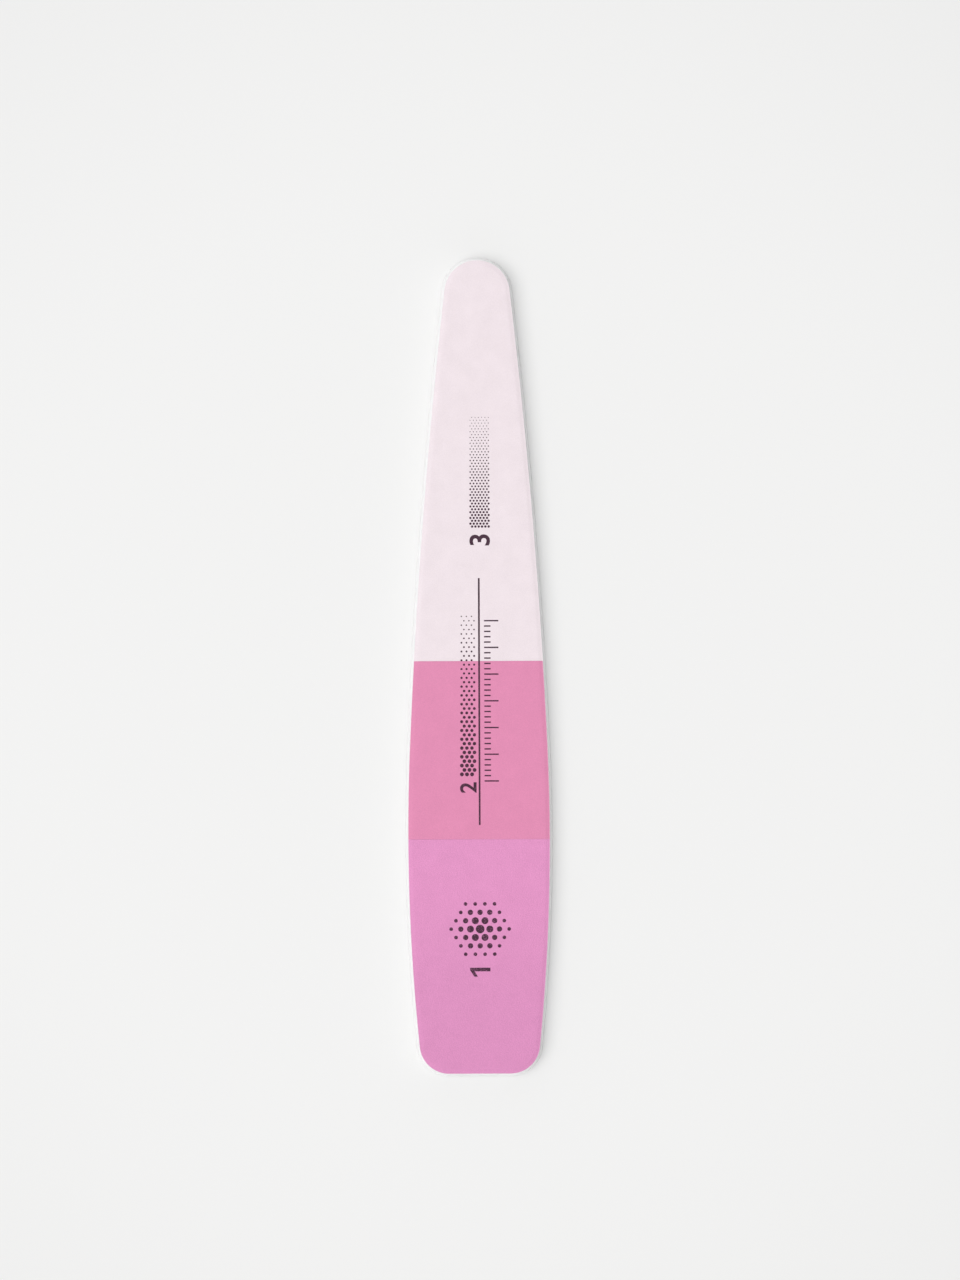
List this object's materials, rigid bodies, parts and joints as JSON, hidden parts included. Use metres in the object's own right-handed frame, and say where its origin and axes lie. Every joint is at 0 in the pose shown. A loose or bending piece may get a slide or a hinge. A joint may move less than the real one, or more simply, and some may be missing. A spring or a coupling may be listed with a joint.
{
  "type": "nail buffer",
  "caption": "Flat tapered nail buffer with a rounded tip and a wide end: lilac, rose and pale abrasive sheets bonded to white foam on a stiff core board.",
  "frame": {"origin": "middle of the back face, on the surface that the buffer lies on", "axes": "+Y along the buffer to its narrow tip, +Z out of the front face, +X to the right of the front face"},
  "size_m": [0.032, 0.178, 0.0045],
  "materials": {
    "core": "satin",
    "adhesive": "satin",
    "foam": "matte",
    "lilac_abrasive": "matte",
    "rose_abrasive": "matte",
    "pale_abrasive": "matte"
  },
  "bodies": {
    "root": {"core_board": "core", "front_core_adhesive": "adhesive", "front_foam": "foam", "front_smoothing_adhesive": "adhesive", "front_smoothing_sheet": "lilac_abrasive", "front_buffing_adhesive": "adhesive", "front_buffing_sheet": "rose_abrasive", "front_shining_adhesive": "adhesive", "front_shining_sheet": "pale_abrasive", "back_core_adhesive": "adhesive", "back_foam": "foam", "back_smoothing_adhesive": "adhesive", "back_smoothing_sheet": "lilac_abrasive", "back_buffing_adhesive": "adhesive", "back_buffing_sheet": "rose_abrasive", "back_shining_adhesive": "adhesive", "back_shining_sheet": "pale_abrasive"}
  },
  "joints": []
}
